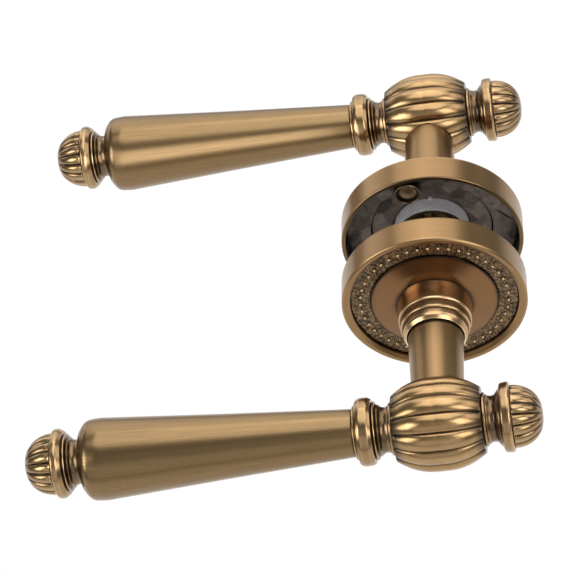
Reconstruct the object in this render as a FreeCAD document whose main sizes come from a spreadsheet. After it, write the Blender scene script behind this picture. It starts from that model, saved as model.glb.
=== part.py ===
import FreeCAD, Part
import math
import os

import Sketcher
from FreeCAD import Placement, Rotation, Vector

# A pair of lever door handles on round roses, one for each face of the door.
# The spindle lies along Y and the origin is on its axis, half way between the two roses.
# The front handle is on the -Y side, the rear one on the +Y side, and both levers point along -X.
# Each handle is drawn in its side's own frame: local Z runs out of the door, local X is world X,
# and local Z = 0 is the face of the rose that lies on the door.

DOCUMENT_NAME = "lever_handle_pair"
PARTS_FOLDER = "parts"
ON_AXIS = 1e-9
SAME_POINT = 1e-6
LEAST_CUT = 1e-3
HUB_SECTIONS = (-1.0, -0.5, 0.0, 0.5, 1.0)

DIMENSIONS = {
    # the pair
    "door_gap": 15.6,
    "hub_height": 52.4,
    "bolt_circle": 38.0,
    "bolt_angle": 103.9,
    # rose shell: drum wall, rounded rim, sunken band
    "rose_radius": 26.0,
    "rose_wall": 1.2,
    "rim_height": 8.7,
    "rim_round": 0.9,
    "rim_width": 2.5,
    "rim_chamfer": 0.4,
    "wall_chamfer": 0.8,
    "band_height": 6.7,
    "band_thick": 1.0,
    "seat_radius": 17.6,
    "pearl_circle": 20.75,
    "pearl_radius": 0.62,
    "pearl_sink": 0.2,
    "pearl_count": 45,
    # centre disc
    "disc_radius": 18.0,
    "disc_edge": 0.75,
    "disc_chamfer": 0.2,
    "disc_hub_play": 0.4,
    "disc_spigot": 17.35,
    "disc_depth": 6.4,
    "disc_top": 9.1,
    # stepped sleeve
    "sleeve_radius": 10.5,
    "sleeve_top": 21.3,
    "sleeve_bore": 8.0,
    "tier_one_top": 15.4,
    "tier_two_top": 18.0,
    "tier_two_radius": 9.75,
    "tier_three_radius": 9.15,
    "tier_draft": 0.2,
    "tier_round": 0.4,
    "sleeve_lip": 1.1,
    "lip_height": 1.5,
    "mouth_chamfer": 0.15,
    # nylon bush
    "bush_radius": 10.7,
    "bush_bottom": 2.7,
    "bush_seat": 7.1,
    "bush_spigot": 9.0,
    "bush_top": 14.0,
    "bush_bore": 7.75,
    "lug_inner": 10.2,
    "lug_outer": 11.7,
    "lug_width": 1.2,
    "lug_bottom": 6.3,
    "lug_height": 0.65,
    "lug_angle": -85.0,
    # retaining ring and washer
    "washer_radius": 10.2,
    "washer_thick": 0.8,
    "washer_play": 0.1,
    "clip_radius": 9.2,
    "clip_thick": 1.0,
    "groove_radius": 6.9,
    # screw posts and base plate
    "post_radius": 3.75,
    "post_bottom": 1.5,
    "post_hole": 2.15,
    "post_hole_top": 5.0,
    "post_countersink": 0.9,
    "plate_radius": 24.4,
    "plate_thick": 2.2,
    "boss_radius": 13.5,
    "boss_height": 6.2,
    "plate_hole": 2.5,
    # neck
    "neck_bottom": 0.4,
    "neck_radius": 7.7,
    "neck_chamfer": 0.4,
    "neck_shoulder": 22.0,
    "neck_tip_radius": 7.15,
    "neck_taper_top": 42.0,
    "neck_top": 46.4,
    "socket_side": 8.2,
    "socket_top": 57.6,
    "grub_height": 30.0,
    "grub_radius": 2.5,
    "grub_bottom": 4.15,
    "grub_top": 7.0,
    "grub_key_radius": 1.25,
    "grub_key_depth": 1.6,
    # spindle
    "spindle_side": 8.0,
    "spindle_front": 48.0,
    "spindle_rear": 64.0,
    "spindle_chamfer": 0.8,
    # melon hub
    "hub_radius": 12.8,
    "hub_half": 12.0,
    "hub_end_radius": 9.0,
    "lobe_count": 14,
    "lobe_depth": 0.9,
    # collar between hub and grip
    "collar_end": 23.4,
    "collar_bead": 7.4,
    "collar_ring": 9.2,
    "collar_ring_outer": 21.3,
    "collar_ring_inner": 17.7,
    "collar_step": 7.7,
    "collar_waist": 6.3,
    "collar_cove": 2.6,
    "ring_round": 0.8,
    "ring_corner": 0.6,
    "collar_foot": 7.3,
    "collar_foot_width": 0.7,
    "collar_foot_end": 1.2,
    "collar_step_width": 1.2,
    "collar_bead_rise": 0.1,
    "collar_bead_end": 7.1,
    # grip
    "grip_end": 97.6,
    "grip_thin": 6.5,
    "grip_thick": 11.3,
    "grip_shoulder": 92.4,
    "grip_face": 8.6,
    "grip_round": 6.0,
    # grip finial
    "tip_end": 114.0,
    "tip_radius": 8.5,
    "tip_ring": 9.6,
    "tip_ring_end": 102.2,
    "tip_waist": 5.1,
    "tip_foot": 6.2,
    "tip_ring_rise": 0.95,
    "tip_ring_round": 1.75,
    "tip_foot_width": 0.8,
    "tip_foot_end": 1.3,
    "tip_waist_start": 1.6,
    "tip_ring_step": 0.3,
    # hub finial
    "knob_ring": 9.5,
    "knob_ring_start": 16.9,
    "knob_radius": 8.3,
    "knob_end": 28.1,
    "knob_foot": 7.3,
    "knob_ring_rise": 0.8,
    "knob_ring_round": 1.72,
    "knob_cove": 2.4,
    "knob_ring_foot": 0.4,
    "knob_foot_width": 0.9,
    "knob_foot_drop": 0.3,
    # threaded studs
    "stud_radius": 3.0,
    "stud_inner": 7.0,
    "stud_outer": 40.0,
    "small_stud_radius": 2.0,
    "stud_play": 0.05,
    "stud_chamfer": 0.4,
    "tip_stud_reach": 7.8,
    "knob_stud_end": 20.8,
    "bore_spare": 0.6,
    "cut_spare": 1.0,
}


class Size:
    """A length together with the sheet formula that it comes from."""

    def __init__(self, value, formula):
        self.value = value
        self.formula = formula

    def joined(self, other, sign):
        if isinstance(other, Size):
            number, formula = other.value, "(" + other.formula + ")"
        else:
            number, formula = other, str(other)
        value = self.value + number if sign == "+" else self.value - number
        return Size(value, self.formula + " " + sign + " " + formula)

    def __add__(self, other):
        return self.joined(other, "+")

    def __sub__(self, other):
        return self.joined(other, "-")

    def __neg__(self):
        return Size(-self.value, "-(" + self.formula + ")")

    def times(self, factor):
        return Size(self.value * factor, "(" + self.formula + ") * " + str(factor))


ZERO = Size(0.0, "0")


def make_sheet(doc):
    sheet = doc.addObject("Spreadsheet::Sheet", "dims")
    for row, (alias, value) in enumerate(DIMENSIONS.items(), start=1):
        sheet.set("A%d" % row, alias)
        sheet.set("B%d" % row, str(value))
        sheet.setAlias("B%d" % row, alias)
    doc.recompute()
    return sheet


class Model:
    """The document, its sheet of sizes and the nodes made so far."""

    def __init__(self):
        self.doc = FreeCAD.newDocument(DOCUMENT_NAME)
        self.sheet = make_sheet(self.doc)
        self.nodes = []

    def size(self, alias):
        return Size(float(self.sheet.get(alias)), "dims." + alias)

    def number(self, alias):
        return float(self.sheet.get(alias))

    def body(self, name, placement):
        body = self.doc.addObject("PartDesign::Body", name)
        body.Label = name
        body.Placement = placement
        self.nodes.append(body)
        return body

    def shape_node(self, name, shape, placement):
        node = self.doc.addObject("Part::Feature", name)
        node.Label = name
        node.Shape = shape
        node.Placement = placement
        self.nodes.append(node)
        return node


# Sketches and features

def origin_plane(body, role):
    return next(item for item in body.Origin.OriginFeatures if item.Role == role)


def new_sketch(body, name, role, height=None):
    sketch = body.newObject("Sketcher::SketchObject", name)
    sketch.AttachmentSupport = [(origin_plane(body, role), "")]
    sketch.MapMode = "FlatFace"
    if height is not None:
        sketch.setExpression("AttachmentOffset.Base.z", height.formula)
    return sketch


def hold_point(sketch, index, point, x_size, y_size):
    """Tie one point of an edge to its two formulas; a coordinate of 0 lies on the axis instead."""
    for kind, axis, size in (("DistanceX", -2, x_size), ("DistanceY", -1, y_size)):
        if abs(size.value) < ON_AXIS:
            sketch.addConstraint(Sketcher.Constraint("PointOnObject", index, point, axis))
            continue
        number = sketch.addConstraint(Sketcher.Constraint(kind, -1, 1, index, point, size.value))
        sketch.setExpression("Constraints[%d]" % number, size.formula)


def arc_middle(start, end, radius):
    """Middle of the arc from start to end; it bulges to the right of the way for a positive radius."""
    chord = end - start
    half = chord.Length / 2.0
    rise = abs(radius) - math.sqrt(max(radius * radius - half * half, 0.0))
    side = Vector(chord.y, -chord.x, 0).normalize()
    return (start + end) * 0.5 + side * math.copysign(rise, radius)


def draw_outline(sketch, corners):
    """Closed outline. A corner is (x, y) or (x, y, arc): arc is the radius of the stretch after it."""
    points = [Vector(corner[0].value, corner[1].value, 0) for corner in corners]
    arcs = [corner[2] if len(corner) > 2 else None for corner in corners]
    count = len(corners)
    for index, (start, arc) in enumerate(zip(points, arcs)):
        end = points[(index + 1) % count]
        if arc is None:
            sketch.addGeometry(Part.LineSegment(start, end), False)
        else:
            sketch.addGeometry(Part.Arc(start, arc_middle(start, end, arc.value), end), False)
    ends = []
    for index, (start, arc) in enumerate(zip(points, arcs)):
        forward = arc is None or sketch.getPoint(index, 1).distanceToPoint(start) < SAME_POINT
        ends.append((1, 2) if forward else (2, 1))
    for index in range(count):
        following = (index + 1) % count
        link = Sketcher.Constraint("Coincident", index, ends[index][1], following, ends[following][0])
        sketch.addConstraint(link)
    for index, corner in enumerate(corners):
        hold_point(sketch, index, ends[index][0], corner[0], corner[1])
        if arcs[index] is not None:
            radius = abs(arcs[index].value)
            number = sketch.addConstraint(Sketcher.Constraint("Radius", index, radius))
            sketch.setExpression("Constraints[%d]" % number, "abs(" + arcs[index].formula + ")")


def turned(model, name, placement, corners, axis):
    """A body turned from one outline about the sketch's V_Axis (along Z) or H_Axis (along X)."""
    body = model.body(name, placement)
    sketch = new_sketch(body, name + "_outline", "XZ_Plane")
    draw_outline(sketch, corners)
    model.doc.recompute()
    revolution = body.newObject("PartDesign::Revolution", name + "_turn")
    revolution.Profile = sketch
    revolution.ReferenceAxis = (sketch, [axis])
    revolution.Angle = 360.0
    body.Tip = revolution
    model.doc.recompute()
    return body


def draw_circle(sketch, centre_x, centre_y, radius):
    """A circle whose centre and radius follow the sheet."""
    centre = Vector(centre_x.value, centre_y.value, 0)
    index = sketch.addGeometry(Part.Circle(centre, Vector(0, 0, 1), radius.value), False)
    number = sketch.addConstraint(Sketcher.Constraint("Radius", index, radius.value))
    sketch.setExpression("Constraints[%d]" % number, radius.formula)
    hold_point(sketch, index, 3, centre_x, centre_y)


def cut_away(model, body, sketch, depth, reverse):
    """Pocket a sketch into the body and make sure that it took something away."""
    before = body.Shape.Volume
    pocket = body.newObject("PartDesign::Pocket", sketch.Name + "_cut")
    pocket.Profile = sketch
    pocket.Length = depth.value
    pocket.setExpression("Length", depth.formula)
    pocket.Reversed = reverse
    body.Tip = pocket
    model.doc.recompute()
    if body.Shape.Volume >= before - LEAST_CUT:
        raise RuntimeError(body.Label + ": " + pocket.Name + " cut nothing")
    return pocket


def repeat_about(model, body, feature, sketch, count):
    """Repeat a feature evenly about the sketch's normal."""
    pattern = body.newObject("PartDesign::PolarPattern", feature.Name + "_ring")
    pattern.Originals = [feature]
    pattern.Axis = (sketch, ["N_Axis"])
    pattern.Angle = 360.0
    pattern.Occurrences = count
    body.Tip = pattern
    model.doc.recompute()
    return pattern


def drill_along_lever(model, body, start, length, radius):
    """A blind hole on the lever's axis, from the plane at start, running to +X."""
    sketch = new_sketch(body, body.Name + "_bore_" + str(len(body.Group)), "YZ_Plane", start)
    draw_circle(sketch, ZERO, ZERO, radius)
    model.doc.recompute()
    return cut_away(model, body, sketch, length, True)


# Rose

def rose_shell(model, side, placement):
    """Drum wall with a rounded rim, and a sunken band that carries a ring of pearls."""
    s = model.size
    inner_wall = s("rose_radius") - s("rose_wall")
    rim_inner = s("rose_radius") - s("rim_width")
    floor = s("band_height") - s("band_thick")
    corners = [
        (inner_wall, ZERO),
        (s("rose_radius"), ZERO),
        (s("rose_radius"), s("rim_height") - s("rim_round"), s("rim_round")),
        (s("rose_radius") - s("rim_round"), s("rim_height")),
        (rim_inner + s("rim_chamfer"), s("rim_height")),
        (rim_inner, s("rim_height") - s("rim_chamfer")),
        (rim_inner, s("band_height")),
        (s("seat_radius"), s("band_height")),
        (s("seat_radius"), floor),
        (inner_wall - s("wall_chamfer"), floor),
        (inner_wall, floor - s("wall_chamfer")),
    ]
    body = turned(model, side + "_rose_shell", placement, corners, "V_Axis")
    pearl_row(model, body)
    return body


def pearl_row(model, body):
    """Half pearls standing on the band, one turned and the rest repeated about the axis."""
    s = model.size
    radius = s("pearl_radius")
    seat = s("band_height") - s("pearl_sink")
    crown = s("band_height") + radius
    sketch = new_sketch(body, body.Name + "_pearl_outline", "XZ_Plane")
    half_round = [
        (s("pearl_circle"), seat),
        (s("pearl_circle") + radius, seat),
        (s("pearl_circle") + radius, s("band_height"), radius),
        (s("pearl_circle"), crown),
    ]
    draw_outline(sketch, half_round)
    axis_line = Part.LineSegment(Vector(radius.value, 0, 0), Vector(radius.value, 1, 0))
    axis = sketch.addGeometry(axis_line, True)
    sketch.addConstraint(Sketcher.Constraint("Vertical", axis))
    sketch.addConstraint(Sketcher.Constraint("PointOnObject", 0, 1, axis))
    model.doc.recompute()
    pearl = body.newObject("PartDesign::Revolution", body.Name + "_pearl")
    pearl.Profile = sketch
    pearl.ReferenceAxis = (sketch, ["Axis0"])
    pearl.Angle = 360.0
    body.Tip = pearl
    model.doc.recompute()
    flat = new_sketch(body, body.Name + "_pearl_axis", "XY_Plane")
    flat.addGeometry(Part.Point(Vector(0, 0, 0)), True)
    model.doc.recompute()
    repeat_about(model, body, pearl, flat, int(model.number("pearl_count")))


def rose_disc(model, side, placement):
    """Shallow cone that rises from the band to the sleeve, seated in the shell's round hole."""
    s = model.size
    edge_top = s("band_height") + s("disc_edge")
    seat = s("bush_spigot") + s("stud_play")
    corners = [
        (s("disc_spigot"), s("disc_depth")),
        (s("disc_spigot"), s("band_height")),
        (s("disc_radius"), s("band_height")),
        (s("disc_radius"), edge_top - s("disc_chamfer")),
        (s("disc_radius") - s("disc_chamfer"), edge_top),
        (s("sleeve_radius"), s("disc_top")),
        (seat, s("disc_top")),
        (seat, s("bush_seat")),
        (s("bush_radius") + s("disc_hub_play"), s("bush_seat")),
    ]
    return turned(model, side + "_rose_disc", placement, corners, "V_Axis")


def rose_sleeve(model, side, placement):
    """Stepped sleeve of three tiers that narrows to the neck."""
    s = model.size
    tier_two = s("tier_two_radius")
    tier_three = s("tier_three_radius")
    seat = s("bush_spigot") + s("stud_play")
    corners = [
        (seat, s("disc_top")),
        (s("sleeve_radius"), s("disc_top")),
        (s("sleeve_radius") - s("tier_draft"), s("tier_one_top") - s("tier_round")),
        (s("sleeve_radius") - s("tier_round"), s("tier_one_top")),
        (tier_two - s("tier_draft"), s("tier_one_top")),
        (tier_two, s("tier_one_top") + s("tier_round")),
        (tier_two, s("tier_two_top") - s("tier_round")),
        (tier_two - s("tier_draft"), s("tier_two_top")),
        (tier_three - s("tier_draft"), s("tier_two_top")),
        (tier_three, s("tier_two_top") + s("tier_round")),
        (tier_three, s("sleeve_top") - s("lip_height"), s("sleeve_lip")),
        (s("sleeve_bore") + s("mouth_chamfer"), s("sleeve_top")),
        (s("sleeve_bore"), s("sleeve_top") - s("mouth_chamfer").times(2)),
        (s("sleeve_bore"), s("bush_top")),
        (seat, s("bush_top")),
    ]
    return turned(model, side + "_rose_sleeve", placement, corners, "V_Axis")


def bush(model, side, placement):
    """Nylon bearing with a thick collar inside the rose and a spigot up the sleeve."""
    s = model.size
    corners = [
        (s("bush_bore"), s("bush_bottom")),
        (s("bush_radius"), s("bush_bottom")),
        (s("bush_radius"), s("bush_seat")),
        (s("bush_spigot"), s("bush_seat")),
        (s("bush_spigot"), s("bush_top")),
        (s("bush_bore"), s("bush_top")),
    ]
    body = turned(model, side + "_bush", placement, corners, "V_Axis")
    add_lug(model, body)
    return body


def add_lug(model, body):
    """Small flat tab that stands out from the bush's collar."""
    s = model.size
    sketch = new_sketch(body, body.Name + "_lug_outline", "XY_Plane", s("lug_bottom"))
    sketch.setExpression("AttachmentOffset.Rotation.Angle", "dims.lug_angle * 1 deg")
    half = s("lug_width").times(0.5)
    lug_corners = [
        (s("lug_inner"), -half),
        (s("lug_outer"), -half),
        (s("lug_outer"), half),
        (s("lug_inner"), half),
    ]
    draw_outline(sketch, lug_corners)
    model.doc.recompute()
    lug = body.newObject("PartDesign::Pad", body.Name + "_lug")
    lug.Profile = sketch
    lug.setExpression("Length", "dims.lug_height")
    body.Tip = lug
    model.doc.recompute()


def screw_posts(model, side, placement):
    """Two threaded posts on the bolt circle, each a short column with a blind hole."""
    n = model.number
    floor = n("band_height") - n("band_thick")
    centre = Vector(n("bolt_circle") / 2.0, 0, n("post_bottom"))
    sink = n("post_countersink")
    column = Part.makeCylinder(n("post_radius"), floor - n("post_bottom"), centre)
    hole = Part.makeCylinder(n("post_hole"), n("post_hole_top") - n("post_bottom"), centre)
    mouth = Part.makeCone(n("post_hole") + sink, n("post_hole"), sink, centre)
    posts = []
    for turn in (0.0, 180.0):
        post = column.cut(hole.fuse(mouth))
        post.rotate(Vector(0, 0, 0), Vector(0, 0, 1), turn - n("bolt_angle"))
        posts.append(post)
    return model.shape_node(side + "_screw_posts", Part.makeCompound(posts), placement)


def base_plate(model, side, placement):
    """Hidden plate that the cover hides: it holds the bush and takes the two door screws."""
    s = model.size
    hole = s("bush_radius") + s("stud_play")
    corners = [
        (hole, ZERO),
        (s("plate_radius"), ZERO),
        (s("plate_radius"), s("plate_thick")),
        (s("boss_radius"), s("plate_thick")),
        (s("boss_radius"), s("boss_height")),
        (hole, s("boss_height")),
    ]
    body = turned(model, side + "_base_plate", placement, corners, "V_Axis")
    flat = new_sketch(body, side + "_screw_hole", "XY_Plane")
    angle = math.radians(model.number("bolt_angle"))
    centre_x = s("bolt_circle").times(round(math.cos(angle) / 2.0, 9))
    centre_y = s("bolt_circle").times(round(math.sin(angle) / 2.0, 9))
    draw_circle(flat, centre_x, centre_y, s("plate_hole"))
    model.doc.recompute()
    pocket = cut_away(model, body, flat, s("plate_thick") + s("cut_spare"), True)
    repeat_about(model, body, pocket, flat, 2)
    return body


def washer(model, side, placement):
    """Steel thrust washer between the bush and the retaining ring."""
    s = model.size
    bottom = s("bush_bottom") - s("washer_thick")
    bore = s("neck_radius") + s("washer_play")
    corners = [
        (bore, bottom),
        (s("washer_radius"), bottom),
        (s("washer_radius"), s("bush_bottom")),
        (bore, s("bush_bottom")),
    ]
    return turned(model, side + "_washer", placement, corners, "V_Axis")


def retaining_ring(model, side, placement):
    """Open spring ring that sits in the neck's groove."""
    s = model.size
    top = s("bush_bottom") - s("washer_thick")
    bottom = top - s("clip_thick")
    bore = s("groove_radius") + s("stud_play")
    corners = [(bore, bottom), (s("clip_radius"), bottom), (s("clip_radius"), top), (bore, top)]
    body = turned(model, side + "_retaining_ring", placement, corners, "V_Axis")
    slot = new_sketch(body, side + "_ring_slot", "XY_Plane")
    half = s("clip_thick")
    slot_corners = [
        (-half, -s("washer_radius")),
        (half, -s("washer_radius")),
        (half, s("cut_spare") - bore),
        (-half, s("cut_spare") - bore),
    ]
    draw_outline(slot, slot_corners)
    model.doc.recompute()
    cut_away(model, body, slot, s("bush_bottom") + s("cut_spare"), True)
    return body


# Lever

def neck(model, side, placement, grub_turn):
    """Tube between rose and hub with a square socket, a ring groove and a cross hole for the grub screw."""
    s = model.size
    clip_top = s("bush_bottom") - s("washer_thick")
    clip_bottom = clip_top - s("clip_thick")
    corners = [
        (ZERO, s("neck_bottom")),
        (s("neck_radius") - s("neck_chamfer"), s("neck_bottom")),
        (s("neck_radius"), s("neck_bottom") + s("neck_chamfer")),
        (s("neck_radius"), clip_bottom),
        (s("groove_radius"), clip_bottom),
        (s("groove_radius"), clip_top),
        (s("neck_radius"), clip_top),
        (s("neck_radius"), s("neck_shoulder")),
        (s("neck_tip_radius"), s("neck_taper_top")),
        (s("neck_tip_radius"), s("neck_top")),
        (ZERO, s("neck_top")),
    ]
    body = turned(model, side + "_neck", placement, corners, "V_Axis")
    square = new_sketch(body, side + "_neck_socket", "XY_Plane")
    draw_outline(square, square_corners(s("socket_side")))
    model.doc.recompute()
    cut_away(model, body, square, s("neck_top") + s("cut_spare"), True)
    cross = new_sketch(body, side + "_neck_cross", "XZ_Plane")
    draw_circle(cross, ZERO, s("grub_height"), s("grub_radius") + s("stud_play"))
    model.doc.recompute()
    cut_away(model, body, cross, s("neck_radius") + s("cut_spare"), grub_turn < 0)
    return body


def square_corners(side_length):
    half = side_length.times(0.5)
    return [(-half, -half), (half, -half), (half, half), (-half, half)]


def grub_screw(model, side, placement, grub_turn):
    """Short headless screw with a hexagon socket that locks the neck onto the spindle."""
    bottom = model.number("grub_bottom")
    top = model.number("grub_top")
    height = model.number("grub_height")
    direction = Vector(0, grub_turn, 0)
    start = Vector(0, grub_turn * bottom, height)
    screw = Part.makeCylinder(model.number("grub_radius"), top - bottom, start, direction)
    key_radius = model.number("grub_key_radius")
    key = Part.makePolygon([hexagon_corner(index, key_radius) for index in range(7)])
    socket = Part.Face(key).extrude(Vector(0, 0, model.number("grub_key_depth")))
    socket.Placement = Placement(Vector(0, grub_turn * top, height), Rotation(Vector(0, 0, -1), direction))
    return model.shape_node(side + "_grub_screw", screw.cut(socket), placement)


def hexagon_corner(index, radius):
    angle = math.radians(60.0 * index)
    return Vector(radius * math.cos(angle), radius * math.sin(angle), 0)


def lobed_section(x, crest, depth, lobes):
    """Closed ring of round lobes in the plane at x, standing depth above the creases between them."""
    edges = []
    for index in range(lobes):
        angles = [2.0 * math.pi * (index + part) / lobes for part in (0.0, 0.5, 1.0)]
        radii = (crest - depth, crest, crest - depth)
        points = [Vector(x, r * math.cos(a), r * math.sin(a)) for r, a in zip(radii, angles)]
        edges.append(Part.Arc(*points).toShape())
    return Part.Wire(edges)


def melon(model):
    """Lobed solid along the lever's axis, lofted through rings that follow the bowed profile."""
    n = model.number
    crest = n("hub_radius")
    drop = crest - n("hub_end_radius")
    half = n("hub_half")
    bow = (half * half + drop * drop) / (2.0 * drop)
    sections = []
    for share in HUB_SECTIONS:
        radius = crest - bow + math.sqrt(bow * bow - (half * share) ** 2)
        depth = n("lobe_depth") * radius / crest
        sections.append(lobed_section(half * share, radius, depth, int(n("lobe_count"))))
    return Part.makeLoft(sections, True, False)


def hub(model, side, placement):
    """Melon-shaped hub with seats for the neck, the spindle and the two studs."""
    n = model.number
    through = 2 * n("hub_radius")
    play = n("stud_play")
    seat_bottom = n("neck_top") - n("hub_height") - through
    seat = Part.makeCylinder(n("neck_tip_radius") + play, through, Vector(0, 0, seat_bottom))
    wide = n("socket_side")
    corner = Vector(-wide / 2, -wide / 2, -through)
    socket = Part.makeBox(wide, wide, through + n("socket_top") - n("hub_height"), corner)
    inner = Vector(n("stud_inner"), 0, 0)
    grip_side = Part.makeCylinder(n("stud_radius") + play, through, -inner, Vector(-1, 0, 0))
    knob_side = Part.makeCylinder(n("small_stud_radius") + play, through, inner, Vector(1, 0, 0))
    shape = melon(model).cut([seat, socket, grip_side, knob_side])
    return model.shape_node(side + "_hub", shape, placement)


def collar(model, side, placement):
    """Turned collar between hub and grip: bead, main ring, step and waist."""
    s = model.size
    x_end = -s("collar_end")
    x_out = -s("collar_ring_outer")
    x_in = -s("collar_ring_inner")
    hub_face = -s("hub_half")
    bore = s("stud_radius") + s("stud_play")
    corners = [
        (x_end, bore),
        (hub_face, bore),
        (hub_face, s("collar_foot")),
        (hub_face - s("collar_foot_width"), s("collar_foot")),
        (hub_face - s("collar_foot_end"), s("collar_waist"), -s("collar_cove")),
        (x_in + s("collar_step_width"), s("collar_waist")),
        (x_in + s("collar_step_width"), s("collar_step")),
        (x_in, s("collar_step")),
        (x_in, s("collar_ring") - s("ring_corner"), s("ring_round")),
        (x_in - s("ring_corner"), s("collar_ring")),
        (x_out + s("ring_corner"), s("collar_ring"), s("ring_round")),
        (x_out, s("collar_ring") - s("ring_corner")),
        (x_out - s("collar_bead_rise"), s("collar_bead")),
        (x_end, s("collar_bead_end")),
    ]
    return turned(model, side + "_collar", placement, corners, "H_Axis")


def grip(model, side, placement):
    """Tapered barrel that the hand holds, thick and rounded at its free end."""
    s = model.size
    face = -s("grip_end")
    thin_end = -s("collar_end")
    corners = [
        (face, ZERO),
        (thin_end, ZERO),
        (thin_end, s("grip_thin")),
        (-s("grip_shoulder"), s("grip_thick"), s("grip_round")),
        (face, s("grip_face")),
    ]
    body = turned(model, side + "_grip", placement, corners, "H_Axis")
    stud_hole = s("stud_radius") + s("stud_play")
    drill_along_lever(model, body, -s("stud_outer") - s("bore_spare"), s("stud_outer"), stud_hole)
    small_hole = s("small_stud_radius") + s("stud_play")
    depth = s("tip_stud_reach") + s("bore_spare") + s("cut_spare")
    drill_along_lever(model, body, face - s("cut_spare"), depth, small_hole)
    return body


def grip_finial(model, side, placement):
    """Acorn tip with a round ring behind it and a waist against the grip."""
    s = model.size
    face = -s("grip_end")
    ring_end = -s("tip_ring_end")
    root = s("tip_radius") - s("tip_end")
    corners = [
        (-s("tip_end"), ZERO),
        (face, ZERO),
        (face, s("tip_foot")),
        (face - s("tip_foot_width"), s("tip_foot")),
        (face - s("tip_foot_end"), s("tip_waist")),
        (ring_end + s("tip_waist_start"), s("tip_waist")),
        (ring_end, s("tip_ring") - s("tip_ring_rise"), s("tip_ring_round")),
        (root + s("tip_ring_step"), s("tip_ring") - s("tip_ring_rise")),
        (root, s("tip_radius"), s("tip_radius")),
    ]
    body = turned(model, side + "_grip_finial", placement, corners, "H_Axis")
    small_hole = s("small_stud_radius") + s("stud_play")
    depth = s("tip_stud_reach") + s("bore_spare") + s("cut_spare")
    drill_along_lever(model, body, face + s("cut_spare") - depth, depth, small_hole)
    return body


def hub_finial(model, side, placement):
    """Acorn knob on the far side of the hub, with its own ring and waist."""
    s = model.size
    face = s("hub_half")
    ring_start = s("knob_ring_start")
    ring_end = s("knob_end") - s("knob_radius")
    corners = [
        (face, ZERO),
        (s("knob_end"), ZERO, s("knob_radius")),
        (ring_end, s("knob_radius")),
        (ring_end, s("knob_ring") - s("knob_ring_rise"), s("knob_ring_round")),
        (ring_start, s("knob_ring") - s("knob_ring_rise")),
        (ring_start - s("knob_ring_foot"), s("knob_foot"), -s("knob_cove")),
        (face + s("knob_foot_width"), s("knob_foot") - s("knob_foot_drop")),
        (face, s("knob_foot")),
    ]
    body = turned(model, side + "_hub_finial", placement, corners, "H_Axis")
    small_hole = s("small_stud_radius") + s("stud_play")
    depth = s("knob_stud_end") - s("hub_half") + s("bore_spare") + s("cut_spare")
    drill_along_lever(model, body, face - s("cut_spare"), depth, small_hole)
    return body


def stud(model, name, placement, start, length, radius):
    """Threaded stud on the lever's axis, drawn as a plain rod with pointed ends."""
    end = start + length
    chamfer = model.size("stud_chamfer")
    corners = [
        (start, ZERO),
        (end, ZERO),
        (end, radius - chamfer),
        (end - chamfer, radius),
        (start + chamfer, radius),
        (start, radius - chamfer),
    ]
    return turned(model, name, placement, corners, "H_Axis")


def spindle(model):
    """Square bar that carries the turn from one lever to the other."""
    doc = model.doc
    bar = doc.addObject("Part::Box", "spindle_bar")
    bar.setExpression("Length", "dims.spindle_side")
    bar.setExpression("Height", "dims.spindle_side")
    bar.setExpression("Width", "dims.spindle_front + dims.spindle_rear")
    bar.setExpression("Placement.Base.x", "-dims.spindle_side / 2")
    bar.setExpression("Placement.Base.y", "-dims.spindle_front")
    bar.setExpression("Placement.Base.z", "-dims.spindle_side / 2")
    doc.recompute()
    node = doc.addObject("Part::Chamfer", "spindle")
    node.Base = bar
    chamfer = model.number("spindle_chamfer")
    edges = enumerate(bar.Shape.Edges, start=1)
    ends = [index for index, edge in edges if edge.BoundBox.YLength < SAME_POINT]
    node.Edges = [(index, chamfer, chamfer) for index in ends]
    node.Label = "spindle"
    model.nodes.append(node)
    return node


# Assembly

def side_placement(model, side):
    """Local Z out of the door: -Y for the front handle, +Y for the rear one."""
    half_gap = model.number("door_gap") / 2.0
    if side == "front":
        return Placement(Vector(0, -half_gap, 0), Rotation(Vector(1, 0, 0), 90))
    return Placement(Vector(0, half_gap, 0), Rotation(Vector(1, 0, 0), -90))


def handle(model, side):
    s = model.size
    rose = side_placement(model, side)
    lever = rose.multiply(Placement(Vector(0, 0, model.number("hub_height")), Rotation()))
    down = -1 if side == "front" else 1
    rose_shell(model, side, rose)
    rose_disc(model, side, rose)
    rose_sleeve(model, side, rose)
    bush(model, side, rose)
    washer(model, side, rose)
    retaining_ring(model, side, rose)
    neck(model, side, rose, down)
    grub_screw(model, side, rose, down)
    hub(model, side, lever)
    collar(model, side, lever)
    grip(model, side, lever)
    grip_finial(model, side, lever)
    hub_finial(model, side, lever)
    inner = s("stud_inner")
    stud(model, side + "_grip_stud", lever, -s("stud_outer"), s("stud_outer") - inner, s("stud_radius"))
    stud(model, side + "_knob_stud", lever, inner, s("knob_stud_end") - inner, s("small_stud_radius"))
    tip_start = -s("grip_end") - s("tip_stud_reach")
    stud(model, side + "_tip_stud", lever, tip_start, s("tip_stud_reach").times(2), s("small_stud_radius"))


def check_and_write(model):
    model.doc.recompute()
    for item in model.doc.Objects:
        if "Invalid" in item.State or "Error" in item.State:
            raise RuntimeError(item.Label + " failed: " + ", ".join(item.State))
    os.makedirs(PARTS_FOLDER, exist_ok=True)
    for node in model.nodes:
        if node.Shape.isNull() or not node.Shape.isValid():
            raise RuntimeError(node.Label + " has no valid shape")
        node.Shape.exportStep(os.path.join(PARTS_FOLDER, node.Label + ".step"))
        print("%-24s %2d solid(s) %9.1f mm3" % (node.Label, len(node.Shape.Solids), node.Shape.Volume))


def main():
    model = Model()
    handle(model, "front")
    base_plate(model, "front", side_placement(model, "front"))
    handle(model, "rear")
    screw_posts(model, "rear", side_placement(model, "rear"))
    spindle(model)
    check_and_write(model)


main()
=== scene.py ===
import math

import bmesh
import bpy
import numpy as np
from mathutils import Matrix, Vector


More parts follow.
